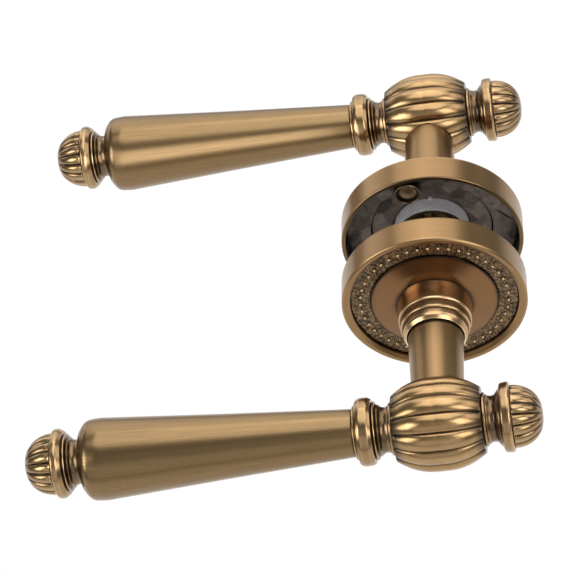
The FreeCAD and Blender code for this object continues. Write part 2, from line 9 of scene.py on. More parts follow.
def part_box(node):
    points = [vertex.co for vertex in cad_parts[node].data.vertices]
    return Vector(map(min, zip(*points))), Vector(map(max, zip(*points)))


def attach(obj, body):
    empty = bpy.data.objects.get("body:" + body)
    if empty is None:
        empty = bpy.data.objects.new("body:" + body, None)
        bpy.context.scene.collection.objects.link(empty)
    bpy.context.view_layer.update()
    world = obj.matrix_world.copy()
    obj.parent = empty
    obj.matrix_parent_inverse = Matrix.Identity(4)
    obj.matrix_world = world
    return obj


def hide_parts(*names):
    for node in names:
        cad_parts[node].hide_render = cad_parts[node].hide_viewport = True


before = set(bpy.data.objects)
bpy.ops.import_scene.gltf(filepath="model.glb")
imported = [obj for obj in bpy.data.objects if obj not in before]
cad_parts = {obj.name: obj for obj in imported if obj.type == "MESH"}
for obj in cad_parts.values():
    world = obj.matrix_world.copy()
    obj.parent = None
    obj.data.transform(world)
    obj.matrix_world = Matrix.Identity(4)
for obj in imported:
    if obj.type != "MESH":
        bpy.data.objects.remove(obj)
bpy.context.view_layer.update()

# All sizes are in millimetres unless a note says m. Each side, front and rear, is made in a frame of its own
# whose Z runs out of the door, and its levers lie along X.
mm = 0.001
fullTurn = 2 * math.pi
uvUnit = 50.0                                      # mm for each unit of a UV map


def boxOf(node):
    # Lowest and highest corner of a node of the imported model, in millimetres.
    low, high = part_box(node)
    return np.array(low) / mm, np.array(high) / mm


shellLow, shellHigh = boxOf("rear_rose_shell")
gripLow, gripHigh = boxOf("rear_grip")
halfGap = shellLow[1]                              # from the origin to each rose's door face
roseRadius = shellHigh[0]
leverReach = (gripLow[1] + gripHigh[1]) / 2 - halfGap   # door face to the lever's axis


view = {
    "azimuth": 11.233, "elevation": 45.675, "roll": 14.477,   # degrees
    "aim": (-41.77, -3.78, 0.0), "distance": 739.2,           # mm
    "lens": 162.22, "sensor": 36.0,                           # mm
    "clip": (0.05, 20.0),                                     # m
}


def outward(azimuth, elevation):
    # Unit direction, azimuth counted from the front (-Y) towards +X.
    a, e = math.radians(azimuth), math.radians(elevation)
    return Vector((math.sin(a) * math.cos(e), -math.cos(a) * math.cos(e), math.sin(e)))


def makeCamera():
    # Looks back along its own outward direction, rolled about it.
    a, roll = math.radians(view["azimuth"]), math.radians(view["roll"])
    back = outward(view["azimuth"], view["elevation"])
    right = Vector((math.cos(a), math.sin(a), 0.0))
    up = back.cross(right)
    turned = right * math.cos(roll) - up * math.sin(roll)
    camera = bpy.data.objects.new("camera", bpy.data.cameras.new("camera"))
    camera.data.lens = view["lens"]
    camera.data.sensor_width = view["sensor"]
    camera.data.clip_start, camera.data.clip_end = view["clip"]
    place = Vector(view["aim"]) * mm + back * view["distance"] * mm
    axes = Matrix((turned, back.cross(turned), back)).transposed().to_4x4()
    camera.matrix_world = Matrix.Translation(place) @ axes
    bpy.context.scene.collection.objects.link(camera)
    bpy.context.scene.camera = camera


lamps = {
    # degrees from the front towards +X, degrees up, width and height in m, radiance
    "overheadBox": {"azimuth": 150, "elevation": 78, "size": (0.80, 0.80), "glow": 2.1},
    "backBox": {"azimuth": 178, "elevation": 38, "size": (0.92, 0.70), "glow": 1.55},
    "backLeftBox": {"azimuth": 226, "elevation": 15, "size": (0.55, 0.46), "glow": 1.0},
    "backSweep": {"azimuth": 180, "elevation": 7, "size": (1.60, 0.24), "glow": 1.1},
    "leftBox": {"azimuth": 302, "elevation": 29, "size": (0.40, 0.56), "glow": 4.4},
    "rightBox": {"azimuth": 47, "elevation": 35, "size": (0.40, 0.56), "glow": 3.6},
    "sideBox": {"azimuth": 97, "elevation": 32, "size": (0.60, 0.60), "glow": 1.6},
    "lowFrontBox": {"azimuth": 0, "elevation": 14, "size": (1.10, 0.60), "glow": 0.6},
    "frontFill": {"azimuth": 11, "elevation": 46, "size": (0.60, 0.36), "glow": 0.25},
    "rearGripCard": {"azimuth": 0, "elevation": 31, "size": (0.085, 0.036), "glow": 2.4,
                     "centre": (-70.0, halfGap + leverReach, 0.0), "away": 60.0},
}
lampRing = {"centre": (-40.0, 0.0, 0.0), "away": 900.0}     # mm, for lamps that name no place of their own


def makeLamp(name, facts):
    # A soft box that faces its centre; power = radiance x pi x area.
    light = bpy.data.lights.new(name, "AREA")
    light.shape = "RECTANGLE"
    light.size, light.size_y = facts["size"]
    light.energy = facts["glow"] * math.pi * light.size * light.size_y
    lamp = bpy.data.objects.new(name, light)
    lamp.visible_camera = False
    towards = outward(facts["azimuth"], facts["elevation"])
    centre, away = facts.get("centre", lampRing["centre"]), facts.get("away", lampRing["away"])
    lamp.location = (Vector(centre) + towards * away) * mm
    lamp.rotation_euler = towards.to_track_quat("Z", "Y").to_euler()
    bpy.context.scene.collection.objects.link(lamp)


stageLook = {
    "drop": 160.0,                                 # mm from the rose's lowest point to the floor
    "size": 3.0,                                   # m
    "colour": (0.72, 0.72, 0.72), "roughness": 0.9, "specular": 0.1, "glow": 0.15,
    "worldStrength": 0.20,
}


def makeStage():
    # Pale floor, faintly lit from within, under an even grey sky.
    half = stageLook["size"] / 2
    low = -roseRadius * mm - stageLook["drop"] * mm
    corners = [(-half, -half, low), (half, -half, low), (half, half, low), (-half, half, low)]
    mesh = bpy.data.meshes.new("floor")
    mesh.from_pydata(corners, [], [(0, 1, 2, 3)])
    floor = bpy.data.objects.new("floor", mesh)
    bpy.context.scene.collection.objects.link(floor)
    paint = bpy.data.materials.new("paleFloor")
    paint.use_nodes = True
    shader = paint.node_tree.nodes["Principled BSDF"]
    shader.inputs["Base Color"].default_value = (*stageLook["colour"], 1)
    shader.inputs["Roughness"].default_value = stageLook["roughness"]
    shader.inputs["Specular IOR Level"].default_value = stageLook["specular"]
    shader.inputs["Emission Color"].default_value = (1, 1, 1, 1)
    shader.inputs["Emission Strength"].default_value = stageLook["glow"]
    mesh.materials.append(paint)
    world = bpy.data.worlds.new("studio")
    world.use_nodes = True
    sky = world.node_tree.nodes["Background"]
    sky.inputs["Color"].default_value = (1, 1, 1, 1)
    sky.inputs["Strength"].default_value = stageLook["worldStrength"]
    bpy.context.scene.world = world
    bpy.context.scene.view_settings.view_transform = "Standard"


makeCamera()
for lampName, lampFacts in lamps.items():
    makeLamp(lampName, lampFacts)
makeStage()
print("stage and camera set")


def newMaterial(name):
    # A new material, its node tree and its shader.
    made = bpy.data.materials.new(name)
    made.use_nodes = True
    return made, made.node_tree, made.node_tree.nodes["Principled BSDF"]


def addNode(tree, kind, **settings):
    # A setting that names an input fills that socket, any other is a property of the node.
    node = tree.nodes.new(kind)
    for key, value in settings.items():
        if key in node.inputs:
            node.inputs[key].default_value = value
        else:
            setattr(node, key, value)
    return node


def grey(level):
    return (level, level, level)


def ramp(tree, source, stops):
    # Colour ramp: the first two stops take the ramp's own two ends, the rest are added.
    node = tree.nodes.new("ShaderNodeValToRGB")
    edges = node.color_ramp.elements
    for index, (position, colour) in enumerate(stops):
        edge = edges[index] if index < 2 else edges.new(position)
        edge.position = position
        edge.color = (*colour, 1)
    tree.links.new(source, node.inputs[0])
    return node.outputs["Color"]


def feed(tree, socket, value):
    # Links another node's output to a socket, or sets a colour or a number on it.
    if isinstance(value, bpy.types.NodeSocket):
        tree.links.new(value, socket)
    elif isinstance(value, tuple):
        socket.default_value = (*value, 1)
    else:
        socket.default_value = value


def blendColour(tree, factor, first, second, way="MIX"):
    node = addNode(tree, "ShaderNodeMix", data_type="RGBA", blend_type=way)
    for socket, value in ((node.inputs[0], factor), (node.inputs[6], first), (node.inputs[7], second)):
        feed(tree, socket, value)
    return node.outputs[2]


def sumUp(tree, way, first, second):
    node = addNode(tree, "ShaderNodeMath", operation=way)
    for socket, value in zip(node.inputs, (first, second)):
        feed(tree, socket, value)
    return node.outputs[0]


def noiseOn(tree, vector, scale, detail=3.0, stretch=(1, 1, 1), roughness=0.55):
    mapping = addNode(tree, "ShaderNodeMapping", Scale=stretch)
    noise = addNode(tree, "ShaderNodeTexNoise", Scale=scale, Detail=detail, Roughness=roughness)
    tree.links.new(vector, mapping.inputs["Vector"])
    tree.links.new(mapping.outputs[0], noise.inputs["Vector"])
    return noise.outputs["Fac"]


def addBump(tree, shader, height, strength, distance):
    bump = addNode(tree, "ShaderNodeBump", Strength=strength, Distance=distance)
    tree.links.new(height, bump.inputs["Height"])
    tree.links.new(bump.outputs[0], shader.inputs["Normal"])


brassTones = {
    "dark": (0.012, 0.009, 0.007),                 # patina in the recesses
    "shade": (0.095, 0.064, 0.038),
    "body": (0.300, 0.190, 0.092),                 # the brushed face
    "rubbed": (0.640, 0.445, 0.235),               # worn edges
}
brassGrain = {"clouds": 260.0, "specks": 1500.0, "bumpDistance": 0.00006}      # noise scales, and m
lacquer = {"coat": 0.12, "roughness": 0.16}

# streaks: how many to each unit of the UV map, across and along; tone: gain on red, green and blue,
# which is part colour and part painted light and shade laid on the whole piece
brassFinishes = {
    "turnedBrass": {"roughness": 0.23, "streaks": (3.0, 60.0), "streakDepth": 0.03, "height": 0.02,
                    "tone": (1.11, 1.12, 1.12), "mottle": 0.14},
    "hubBrass": {"roughness": 0.26, "streaks": (3.0, 3.0), "streakDepth": 0.02, "height": 0.0,
                 "tone": (1.25, 1.24, 1.17), "mottle": 0.14},
    "gripBrass": {"roughness": 0.27, "streaks": (260.0, 3.0), "streakDepth": 0.22, "height": 0.14,
                  "tone": (0.83, 0.845, 0.81), "mottle": 0.16},
    "neckBrass": {"roughness": 0.34, "streaks": (2.0, 150.0), "streakDepth": 0.02, "height": 0.01,
                  "tone": (0.93, 0.90, 0.83), "mottle": 0.06},
    # the sleeve's tone is mostly painted light
    "sleeveBrass": {"roughness": 0.25, "streaks": (2.0, 90.0), "streakDepth": 0.03, "height": 0.01,
                    "tone": (1.68, 1.72, 1.80), "mottle": 0.08},
    "wallBrass": {"roughness": 0.30, "streaks": (2.5, 130.0), "streakDepth": 0.10, "height": 0.08,
                  "tone": (0.98, 0.925, 0.84), "mottle": 0.08},
    "discBrass": {"roughness": 0.22, "streaks": (3.0, 120.0), "streakDepth": 0.03, "height": 0.01,
                  "tone": (0.70, 0.575, 0.515), "mottle": 0.08},
    "bandBrass": {"roughness": 0.34, "streaks": (30.0, 30.0), "streakDepth": 0.08, "height": 0.1,
                  "tone": (1.0, 1.0, 1.0), "mottle": 0.20},
    "postBrass": {"roughness": 0.30, "streaks": (30.0, 30.0), "streakDepth": 0.08, "height": 0.1,
                  "tone": (1.0, 1.0, 1.1), "mottle": 0.20},
}


def antiqueBrass(name, roughness, streaks, streakDepth, height, tone, mottle):
    # Brass with a brown patina under clear lacquer: the relief attribute, which holds patina, wear and
    # painted light and shade, drives the colour from dark recess to rubbed edge; streaks follow the piece's
    # own UV map, mottling follows Object coordinates.
    made, tree, shader = newMaterial(name)
    relief = addNode(tree, "ShaderNodeAttribute", attribute_name="relief").outputs["Fac"]
    place = tree.nodes.new("ShaderNodeTexCoord")
    clouds = noiseOn(tree, place.outputs["Object"], brassGrain["clouds"], 4.0)
    specks = noiseOn(tree, place.outputs["Object"], brassGrain["specks"], 2.0)
    streak = noiseOn(tree, place.outputs["UV"], 1.0, 5.0, (*streaks, 1.0), 0.6)
    uneven = sumUp(tree, "MULTIPLY", sumUp(tree, "SUBTRACT", clouds, 0.5), mottle)
    shifted = sumUp(tree, "ADD", relief, uneven)
    colour = ramp(tree, shifted, [
        (0.05, brassTones["dark"]), (0.92, brassTones["rubbed"]),
        (0.30, brassTones["shade"]), (0.48, brassTones["body"]), (0.58, brassTones["body"])])
    lines = ramp(tree, streak, [(0.32, grey(1 - streakDepth)), (0.68, grey(1 + streakDepth * 0.5))])
    colour = blendColour(tree, 1.0, colour, lines, "MULTIPLY")
    colour = blendColour(tree, 1.0, colour, tone, "MULTIPLY")
    tree.links.new(colour, shader.inputs["Base Color"])
    shader.inputs["Metallic"].default_value = 1.0
    worn = ramp(tree, shifted, [(0.1, grey(roughness + 0.04)), (0.55, grey(roughness))])
    dull, glossy = roughness + streakDepth, roughness - streakDepth / 2
    brushed = ramp(tree, streak, [(0.3, grey(dull)), (0.7, grey(glossy))])
    tree.links.new(blendColour(tree, 0.35, worn, brushed), shader.inputs["Roughness"])
    shader.inputs["Coat Weight"].default_value = lacquer["coat"]
    shader.inputs["Coat Roughness"].default_value = lacquer["roughness"]
    grain = sumUp(tree, "ADD", sumUp(tree, "MULTIPLY", streak, 0.7), sumUp(tree, "MULTIPLY", specks, 0.3))
    addBump(tree, shader, grain, height, brassGrain["bumpDistance"])
    return made


castLook = {
    "low": (0.078, 0.059, 0.049), "high": (0.152, 0.120, 0.100),
    # painted light and shade: a random gain for each flat stands in for the light on its tilt
    "flatLightGains": (0.40, 1.95),                     # gain on the colour, from the darkest flat to the palest
    "metallic": 0.35, "roughness": (0.60, 0.42),
    "clouds": 330.0, "grain": 2400.0,              # noise scales
    "grainHeight": 0.00015, "tiltHeight": 0.0014,  # m
}


def castFloor(name):
    # Raw casting, grey-brown and crumpled: each flat has its own random tone from the relief attribute, which
    # is painted light and shade standing in for the light on its tilt; its tilt is read again from the height
    # attribute, and fine grain lies over all.
    made, tree, shader = newMaterial(name)
    place = tree.nodes.new("ShaderNodeTexCoord").outputs["Object"]
    clouds = noiseOn(tree, place, castLook["clouds"], 5.0, roughness=0.65)
    grain = noiseOn(tree, place, castLook["grain"], 3.0)
    tone = addNode(tree, "ShaderNodeAttribute", attribute_name="relief").outputs["Fac"]
    tilt = addNode(tree, "ShaderNodeAttribute", attribute_name="height").outputs["Fac"]
    base = ramp(tree, clouds, [(0.30, castLook["low"]), (0.72, castLook["high"])])
    darkest, palest = castLook["flatLightGains"]
    paintedFlatLight = ramp(tree, tone, [(0.0, grey(darkest)), (1.0, grey(palest))])
    tree.links.new(blendColour(tree, 1.0, base, paintedFlatLight, "MULTIPLY"), shader.inputs["Base Color"])
    shader.inputs["Metallic"].default_value = castLook["metallic"]
    dull, glossy = castLook["roughness"]
    tree.links.new(ramp(tree, clouds, [(0.3, grey(dull)), (0.7, grey(glossy))]), shader.inputs["Roughness"])
    fine = sumUp(tree, "MULTIPLY", sumUp(tree, "ADD", clouds, grain), castLook["grainHeight"])
    height = sumUp(tree, "ADD", sumUp(tree, "MULTIPLY", tilt, castLook["tiltHeight"]), fine)
    addBump(tree, shader, height, 1.0, 1.0)
    return made


nylonLook = {
    "low": (0.38, 0.37, 0.385), "high": (0.50, 0.487, 0.50), "roughness": (0.38, 0.5),
    "clouds": 300.0, "grain": 3000.0,              # noise scales
    "softness": 0.15, "softReach": (0.0008, 0.0008, 0.0009),
    "bumpStrength": 0.25, "bumpDistance": 0.00005,
}


def nylonWhite(name):
    # White nylon: faint clouds of tone, fine grain and soft light inside.
    made, tree, shader = newMaterial(name)
    place = tree.nodes.new("ShaderNodeTexCoord").outputs["Object"]
    clouds = noiseOn(tree, place, nylonLook["clouds"], 3.0)
    grain = noiseOn(tree, place, nylonLook["grain"], 2.0)
    colour = ramp(tree, clouds, [(0.3, nylonLook["low"]), (0.7, nylonLook["high"])])
    tree.links.new(colour, shader.inputs["Base Color"])
    glossy, dull = nylonLook["roughness"]
    tree.links.new(ramp(tree, grain, [(0.3, grey(glossy)), (0.7, grey(dull))]), shader.inputs["Roughness"])
    shader.inputs["Subsurface Weight"].default_value = nylonLook["softness"]
    shader.inputs["Subsurface Radius"].default_value = nylonLook["softReach"]
    addBump(tree, shader, grain, nylonLook["bumpStrength"], nylonLook["bumpDistance"])
    return made


steelGrain = {"grain": 1400.0, "clouds": 180.0, "bumpStrength": 0.3, "bumpDistance": 0.00004}
steelFinishes = {
    "zincSteel": {"low": (0.34, 0.33, 0.31), "high": (0.60, 0.59, 0.57), "roughness": 0.30,
                  "stretch": (1, 0.05, 1)},        # drawn along the spindle
    "darkSteel": {"low": (0.045, 0.036, 0.022), "high": (0.20, 0.16, 0.09), "roughness": 0.20,
                  "stretch": (1, 1, 1)},
}


def machinedSteel(name, low, high, roughness, stretch):
    # Turned or drawn steel: fine stretched grain in colour, gloss and height.
    made, tree, shader = newMaterial(name)
    place = tree.nodes.new("ShaderNodeTexCoord").outputs["Object"]
    grain = noiseOn(tree, place, steelGrain["grain"], 4.0, stretch)
    clouds = noiseOn(tree, place, steelGrain["clouds"], 3.0)
    tone = sumUp(tree, "ADD", sumUp(tree, "MULTIPLY", grain, 0.5), sumUp(tree, "MULTIPLY", clouds, 0.5))
    tree.links.new(ramp(tree, tone, [(0.3, low), (0.7, high)]), shader.inputs["Base Color"])
    shader.inputs["Metallic"].default_value = 1.0
    gloss = ramp(tree, grain, [(0.3, grey(roughness + 0.1)), (0.7, grey(roughness - 0.06))])
    tree.links.new(gloss, shader.inputs["Roughness"])
    addBump(tree, shader, grain, steelGrain["bumpStrength"], steelGrain["bumpDistance"])
    return made


finishes = {name: antiqueBrass(name, **facts) for name, facts in brassFinishes.items()}
finishes["castBrass"] = castFloor("castBrass")
finishes["nylon"] = nylonWhite("nylon")
finishes.update({name: machinedSteel(name, **facts) for name, facts in steelFinishes.items()})
print("finishes made")


def unit(vector):
    return vector / max(np.linalg.norm(vector), 1e-12)


def roundedPath(outline, step, arcSteps=7):
    # A chain of straight runs whose corners (along, radius, rounding) are replaced by tangent arcs;
    # runs are divided evenly so that no two points are further apart than step.
    points = [np.array(corner[:2], float) for corner in outline]
    path = [points[0]]
    for before, corner, after, facts in zip(points[:-2], points[1:-1], points[2:], outline[1:-1]):
        rounding = facts[2] if len(facts) > 2 else 0.0
        inward, onward = unit(corner - before), unit(after - corner)
        turn = math.acos(float(np.clip(inward @ onward, -1, 1)))
        if rounding <= 0 or turn < 0.02:
            path.append(corner)
            continue
        room = 0.49 * min(np.linalg.norm(corner - before), np.linalg.norm(after - corner))
        reach = min(rounding * math.tan(turn / 2), room)
        size = reach / math.tan(turn / 2)
        side = unit(onward - inward * float(inward @ onward))
        centre = corner - inward * reach + side * size
        share = np.linspace(0, turn, max(3, int(arcSteps * turn / (math.pi / 2)) + 2))[:, None]
        path.extend(centre - side * size * np.cos(share) + inward * size * np.sin(share))
    path.append(points[-1])
    path = np.array(path)
    filled = [path[:1]]
    for start, end in zip(path[:-1], path[1:]):
        count = max(1, int(math.ceil(np.linalg.norm(end - start) / step)))
        filled.append(start + (end - start) * np.linspace(0, 1, count + 1)[1:, None])
    return np.concatenate(filled)


def lengthsOf(path):
    # Length of the path from its start to each of its points.
    return np.concatenate([[0], np.cumsum(np.linalg.norm(np.diff(path, axis=0), axis=1))])


def blurRows(values, amount):
    # Gaussian average along the first axis, the ends held; amount is the width in rows.
    reach = int(amount * 3) + 1
    weights = np.exp(-0.5 * (np.arange(-reach, reach + 1) / amount) ** 2)
    weights /= weights.sum()
    padded = np.concatenate([np.repeat(values[:1], reach, 0), values, np.repeat(values[-1:], reach, 0)])
    return sum(w * padded[k:k + len(values)] for k, w in enumerate(weights))


def reliefOf(path, fine, coarse, spacing=0.06):
    # How far each point of a profile stands off its own smoothed line, at a fine and a coarse reach:
    # relief = 0.5 + 0.30 stand(0.35 mm) / fine + 0.20 stand(1.6 mm) / coarse; 0 is deep, 1 is proud.
    lengths = lengthsOf(path)
    even = np.linspace(0, lengths[-1], max(16, int(lengths[-1] / spacing)))
    line = np.stack([np.interp(even, lengths, path[:, k]) for k in (0, 1)], 1)
    along = np.gradient(line, axis=0)
    normal = np.stack([-along[:, 1], along[:, 0]], 1)
    normal /= np.maximum(np.linalg.norm(normal, axis=1, keepdims=True), 1e-9)
    relief = np.full(len(even), 0.5)
    for reach, depth, share in ((0.35, fine, 0.30), (1.6, coarse, 0.20)):
        stand = ((line - blurRows(line, reach / spacing)) * normal).sum(1)
        relief += share * np.clip(stand / depth, -1, 1)
    return np.interp(lengths, even, np.clip(relief, 0, 1))


def closeMesh(mesh, gap=2e-7, sliver=1e-8):
    # Welds seams and poles, drops faces without area and turns the rest outwards; lengths in m.
    work = bmesh.new()
    work.from_mesh(mesh)
    bmesh.ops.remove_doubles(work, verts=work.verts, dist=gap)
    bmesh.ops.dissolve_degenerate(work, edges=work.edges, dist=sliver)
    bmesh.ops.recalc_face_normals(work, faces=work.faces)
    work.to_mesh(mesh)
    work.free()


def buildMesh(name, grid, marks, uvMap, finish):
    # Quads over copies of a grid of points, indexed copy, row and column.
    # marks are values at the points, by name, that the material reads.
    copies, rows, columns = grid.shape[:3]
    corner = (np.arange(rows - 1)[:, None] * columns + np.arange(columns - 1)[None, :]).ravel()
    quads = np.stack([corner, corner + 1, corner + columns + 1, corner + columns], 1)
    quads = (quads[None] + (np.arange(copies) * rows * columns)[:, None, None]).reshape(-1, 4)
    mesh = bpy.data.meshes.new(name)
    mesh.from_pydata(grid.reshape(-1, 3) * mm, [], quads)
    for mark, values in marks.items():
        shared = np.broadcast_to(values, grid.shape[:3]).ravel().astype(np.float32)
        mesh.attributes.new(mark, "FLOAT", "POINT").data.foreach_set("value", shared)
    layer = mesh.uv_layers.new(name="UVMap")
    flat = np.broadcast_to(uvMap, (copies, rows, columns, 2)).reshape(-1, 2)
    layer.data.foreach_set("uv", flat[quads.ravel()].ravel().astype(np.float32))
    closeMesh(mesh)
    mesh.polygons.foreach_set("use_smooth", np.ones(len(mesh.polygons), bool))
    mesh.materials.append(finishes[finish])
    piece = bpy.data.objects.new(name, mesh)
    bpy.context.scene.collection.objects.link(piece)
    return piece


def turnedGrid(path, columns, axis, wave=None):
    # Carries a profile (along, radius) round an axis: first = r cos(angle), second = r sin(angle), where
    # r = radius + wave(along, angle, radius), and never less than 0.
    angle = np.linspace(0, fullTurn, columns + 1)
    along = path[:, :1] + 0 * angle[None, :]
    radius = path[:, 1:] + 0 * angle[None, :]
    if wave is not None:
        radius = np.maximum(radius + wave(along, angle[None, :] + 0 * along, radius), 0)
    first, second = radius * np.cos(angle), radius * np.sin(angle)
    if axis == "lever":
        return np.stack([along, -second, first], 2)      # along local X, angle counted from local +Z
    return np.stack([first, second, along], 2)           # along local Z


def toWorld(grid, side, atLever):
    # From a side's own frame to the object's: local Z runs out of the door.
    x, y, z = grid[..., 0], grid[..., 1], grid[..., 2]
    out = halfGap + z + (leverReach if atLever else 0)
    if side == "front":
        return np.stack([x, -out, y], -1)
    return np.stack([x, out, -y], -1)


def uvFor(path, columns, radius):
    # The surface rolled flat: u runs round the piece at its largest radius, v along its profile.
    u = np.linspace(0, fullTurn * radius, columns + 1) / uvUnit
    return np.stack(np.broadcast_arrays(u[None, :], lengthsOf(path)[:, None] / uvUnit), 2)


def turnedPiece(side, node, outline, axis, body, finish, slot="brass", columns=128, step=0.45,
                fine=0.12, coarse=1.1, wave=None, shade=None, centres=((0.0, 0.0),)):
    # Turns an outline of (along, radius, rounding) about the lever's or the rose's axis, once at each centre,
    # in place of its CAD node. wave is added to the radius and shade to the relief.
    path = roundedPath(outline, step)
    angle = np.linspace(0, fullTurn, columns + 1)[None, :]
    relief = reliefOf(path, fine, coarse)[:, None] + 0 * angle
    if shade is not None:
        along, radius = path[:, :1] + 0 * angle, path[:, 1:] + 0 * angle
        relief = np.clip(relief + shade(along, angle + 0 * along, radius), 0, 1)
    centres = np.array(centres)
    shift = np.concatenate([centres, 0 * centres[:, :1]], 1)[:, None, None, :]
    grid = toWorld(turnedGrid(path, columns, axis, wave)[None] + shift, side, axis == "lever")
    uvMap = uvFor(path, columns, path[:, 1].max())
    piece = buildMesh(side + "_" + node + "_skin", grid, {"relief": relief}, uvMap, finish)
    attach(piece, body)
    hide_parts(side + "_" + node)


def leverPiece(side, node, outline, **facts):
    # A turned piece of the lever, in turned brass unless it says otherwise.
    common = {"finish": "turnedBrass", "fine": 0.18, "coarse": 1.6}
    turnedPiece(side, node, outline, "lever", side + "_lever", **{**common, **facts})


def lobeShape(angle, count, turn=0.0, width=1.0):
    # Height of a round arch, 1 on each crest and 0 between two; width is the arch's share of the pitch.
    share = (np.mod((angle + turn) * count / fullTurn, 1.0) * 2 - 1) / width
    return np.sqrt(np.clip(1 - share ** 2 * 0.995, 0, 1))


melon = {
    "half": 12.0, "crest": 12.8, "end": 9.0, "shoulder": 0.25,      # mm: half length, radii, fuller shoulder
    "arcPoints": 49, "columns": 504,
    "lobes": 14, "turn": math.pi / 14, "groove": 1.25, "grooveFade": 0.35,
    # creases and ends: patina and painted shade; crest: wear and painted highlight
    "creaseDark": 0.68, "creaseWidth": 4.6, "endWidening": 2.0,
    "endDark": 0.22, "endStart": 7.0, "endLength": 5.0, "crestWearAndHighlight": 0.12,
}


def melonWave(along, angle, radius):
    # Lobes: radius loses groove (radius / crest) (1 - arch), and the grooves close just before the flat ends.
    inside = np.clip((melon["half"] - np.abs(along)) / melon["grooveFade"], 0, 1)
    depth = melon["groove"] * radius / melon["crest"] * inside
    return -depth * (1 - lobeShape(angle, melon["lobes"], melon["turn"]))


def melonShade(along, angle, radius):
    # Patina in each crease, spread over the lobes' flanks by painted shade; a worn crest with a painted
    # highlight; patina and painted shade at both ends, where the hub meets the collar and the finial.
    lobe = lobeShape(angle, melon["lobes"], melon["turn"])
    atEnd = np.clip((np.abs(along) - melon["endStart"]) / melon["endLength"], 0, 1) ** 1.5
    crease = melon["creaseDark"] * np.exp(-lobe * (melon["creaseWidth"] - melon["endWidening"] * atEnd))
    return -crease - melon["endDark"] * atEnd + melon["crestWearAndHighlight"] * lobe ** 3 * (1 - atEnd)


def hubPiece(side):
    # Melon: radius = circular bow through crest and ends + shoulder sin(pi |along| / half).
    half, rise = melon["half"], melon["crest"] - melon["end"]
    arc = np.linspace(-1, 1, melon["arcPoints"]) * half
    bow = (half ** 2 + rise ** 2) / (2 * rise)
    crown = melon["crest"] - bow + np.sqrt(bow ** 2 - arc ** 2)
    crown = crown + melon["shoulder"] * np.sin(math.pi * np.abs(arc) / half)
    outline = [(-half, 0.0)] + list(zip(arc, crown)) + [(half, 0.0)]
    leverPiece(side, "hub", outline, finish="hubBrass", columns=melon["columns"], step=0.5,
               fine=1.0, coarse=6.0, wave=melonWave, shade=melonShade)


patinaLook = {
    "base": 0.02,
    "waist": 0.07, "waistRadius": 8.6,             # all that lies below the main rings is duller
    # the coves' flanks: patina deepened by painted shade
    "cove": 0.14, "coveRadius": 7.3, "coveWidth": 0.4,
}


def patina(along, angle, radius):
    # The grooves and the flanks of the coves hold dark patina, deepened on the flanks by painted shade; their
    # waists and the main rings are rubbed.
    waist = patinaLook["waist"] * np.clip(patinaLook["waistRadius"] - radius, 0, 1)
    flank = np.exp(-((radius - patinaLook["coveRadius"]) / patinaLook["coveWidth"]) ** 2)
    return patinaLook["base"] - waist - patinaLook["cove"] * flank


collar = {
    "outline": [
        (-22.8, 0.0), (-22.8, 6.7, 0.1), (-22.7, 7.35, 0.25), (-22.3, 7.4, 0.1), (-22.2, 7.3, 0.05),
        (-22.1, 7.9, 0.15), (-21.7, 8.85, 0.6), (-20.7, 9.3, 1.3), (-18.6, 9.25, 1.0), (-17.6, 8.7, 0.4),
        (-17.4, 7.75, 0.1), (-17.2, 7.6, 0.05), (-17.05, 8.0, 0.15), (-16.75, 7.85, 0.15), (-16.6, 7.4, 0.1),
        (-16.15, 6.9, 0.1), (-15.95, 7.1, 0.12), (-15.7, 6.8, 0.1), (-15.2, 6.35, 1.0), (-14.3, 6.05, 1.6),
        (-13.25, 6.45, 0.3), (-13.1, 6.3, 0.05), (-13.0, 7.1, 0.3), (-12.25, 7.3, 0.3), (-12.0, 6.8, 0.05),
        (-12.0, 0.0)],
    "flatsAbove": 8.4, "flatsFade": 0.5, "threeFlats": 0.07, "fiveFlats": 0.06,     # mm
    # painted shade on the flank that faces the grip, painted highlight on the bead
    "flankAt": -21.65, "flankWidth": 0.35, "flankDark": 0.28,
    "beadAt": -22.45, "beadWidth": 0.2, "beadAbove": 7.2, "beadHighlight": 0.30,
}


def collarWave(along, angle, radius):
    # The main ring is dressed by hand, and shallow flats run round it: radius gains 0.07 sin(3 angle)
    # + 0.06 sin(5 angle) cos(2 angle), with the phases below.
    on = np.clip((radius - collar["flatsAbove"]) / collar["flatsFade"], 0, 1)
    three = collar["threeFlats"] * np.sin(3 * angle + 0.4)
    five = collar["fiveFlats"] * np.sin(5 * angle + 1.3) * np.cos(2 * angle)
    return on * (three + five)


def collarShade(along, angle, radius):
    # As patina, with painted shade on the flank that faces the grip and a painted highlight on the bead
    # between that flank and the grip.
    flank = np.exp(-((along - collar["flankAt"]) / collar["flankWidth"]) ** 2)
    bead = np.exp(-((along - collar["beadAt"]) / collar["beadWidth"]) ** 2) * (radius > collar["beadAbove"])
    return patina(along, angle, radius) - collar["flankDark"] * flank + collar["beadHighlight"] * bead


grip = {
    "outline": [
        (-97.4, 0.0), (-97.4, 8.75, 0.25), (-95.7, 11.0, 2.6), (-92.0, 11.32, 9.0), (-60.0, 8.98, 60.0),
        (-23.1, 6.52, 0.2), (-22.8, 6.3, 0.1), (-22.8, 0.0)],
    # painted shade at both ends of the grip
    "farEnd": -96.7, "farDark": 0.34, "nearEnd": -23.6, "nearDark": 0.30, "fade": 0.5,
}


def gripShade(along, angle, radius):
    # Painted shade where the grip's ends meet the finial and the collar.
    far = np.clip((grip["farEnd"] - along) / grip["fade"], 0, 1)
    near = np.clip((along - grip["nearEnd"]) / grip["fade"], 0, 1)
    return -grip["farDark"] * far - grip["nearDark"] * near


